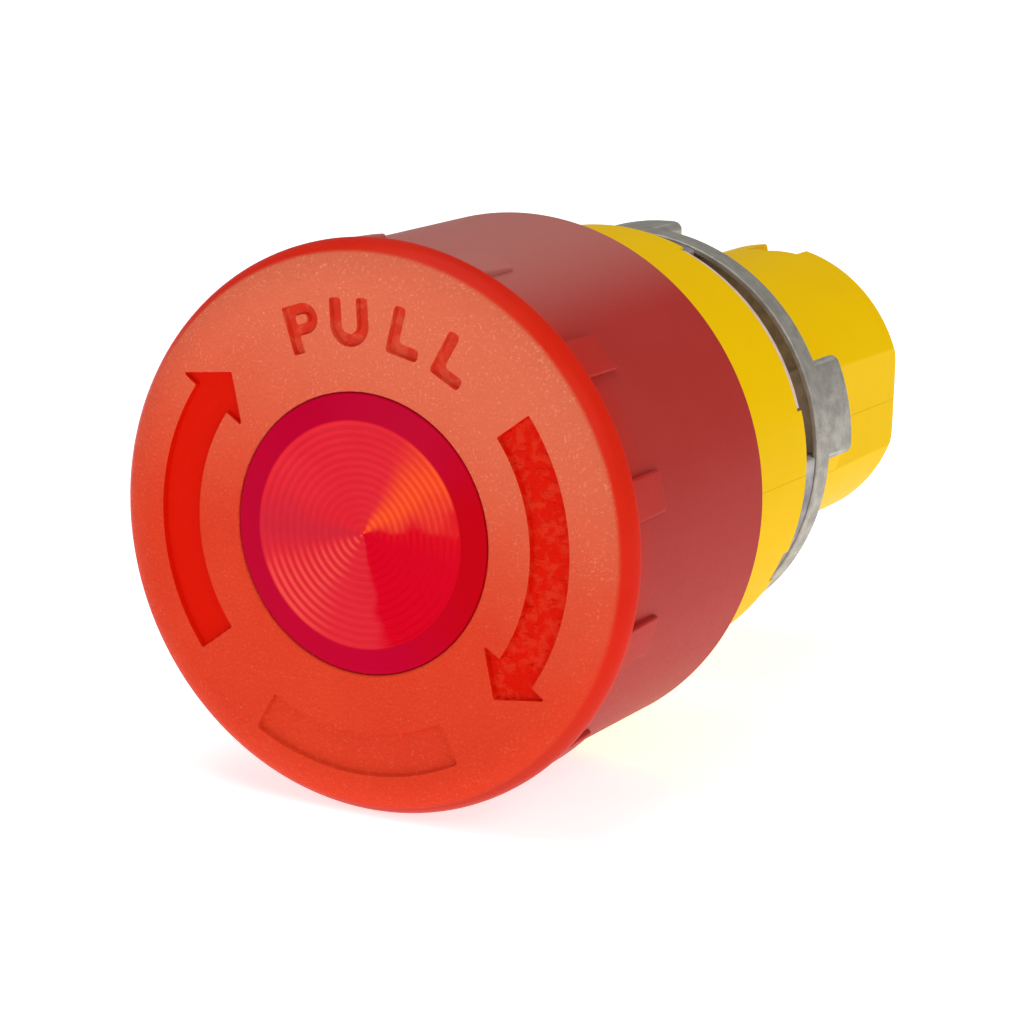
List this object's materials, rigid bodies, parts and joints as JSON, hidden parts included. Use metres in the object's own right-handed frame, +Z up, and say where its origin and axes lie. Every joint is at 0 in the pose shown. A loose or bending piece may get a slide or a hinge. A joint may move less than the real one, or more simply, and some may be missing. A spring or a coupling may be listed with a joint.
{
  "type": "emergency stop button",
  "caption": "Illuminated mushroom-head emergency stop operator for a 22 mm panel hole, latching, with turn or pull release, lens, collar, barrel and metal fixing ring.",
  "frame": {"origin": "on the head's axis, in the plane of the collar's seat against the panel's front face", "axes": "+Y along the axis from the head to the rear, behind the panel; +Z up; +X to the right as seen from the front"},
  "size_m": [0.04, 0.0654, 0.04],
  "materials": {
    "red_plastic": "fine sand texture on the face, satin skirt",
    "lens_red": "clear translucent red, polished",
    "yellow_plastic": "smooth satin moulding",
    "zinc": "rough zinc die casting",
    "steel": "plain spring steel",
    "black_rubber": "matte",
    "gasket_rubber": "matte pale grey-pink",
    "white_plastic": "plain moulding",
    "grey_plastic": "plain moulding",
    "clear_plastic": "clear polished rod"
  },
  "bodies": {
    "housing": {"operator_body": "yellow_plastic", "panel_gasket": "gasket_rubber", "skirt_seal": "black_rubber", "stem_seal": "black_rubber", "latch_cage": "grey_plastic", "rear_bush": "white_plastic", "bush_clip": "steel", "pawl_spring": "steel", "return_spring": "steel"},
    "carriage": {"slide_carriage": "white_plastic"},
    "head": {"mushroom_cap": "red_plastic", "lens": "lens_red", "lens_seal": "black_rubber", "diffuser": "white_plastic", "cap_clip": "steel", "stem": "white_plastic", "carriage_clip": "steel", "stem_clip": "steel", "light_guide": "clear_plastic", "contact_pusher": "grey_plastic", "torsion_spring": "steel"},
    "pawl_left": {"latch_pawl_left": "steel"},
    "pawl_right": {"latch_pawl_right": "steel"},
    "washer": {"clamp_washer": "zinc"},
    "ring": {"fixing_ring": "zinc"}
  },
  "joints": [
    {"name": "head_press", "type": "slide", "parent": "housing", "child": "carriage", "axis": [0, 1, 0], "range_m": [0, 0.005], "stiffness_N_per_m": 1500, "springref_m": -0.006, "deforming": ["return_spring", "pawl_spring"]},
    {"name": "head_twist", "type": "hinge", "parent": "carriage", "child": "head", "pos_m": [0, 0, 0], "axis": [0, 1, 0], "range_deg": [0, 35], "stiffness_Nm_per_rad": 0.08, "springref_deg": -34.38, "deforming": ["torsion_spring"]},
    {"name": "pawl_left_slide", "type": "slide", "parent": "housing", "child": "pawl_left", "axis": [1, 0, 0], "range_m": [0, 0.0009]},
    {"name": "pawl_right_slide", "type": "slide", "parent": "housing", "child": "pawl_right", "axis": [-1, 0, 0], "range_m": [0, 0.0009]},
    {"name": "ring_travel", "type": "slide", "parent": "housing", "child": "washer", "axis": [0, 1, 0], "range_m": [0, 0.0341]},
    {"name": "ring_turn", "type": "hinge", "parent": "washer", "child": "ring", "pos_m": [0, 0, 0], "axis": [0, 1, 0], "range_deg": [0, 8160]}
  ],
  "couplings": [
    {"joint": "pawl_left_slide", "follows": "head_press", "ratio": 0.18},
    {"joint": "pawl_right_slide", "follows": "head_press", "ratio": 0.18},
    {"joint": "ring_travel", "follows": "ring_turn", "m_per_rad": 0.00023873}
  ]
}
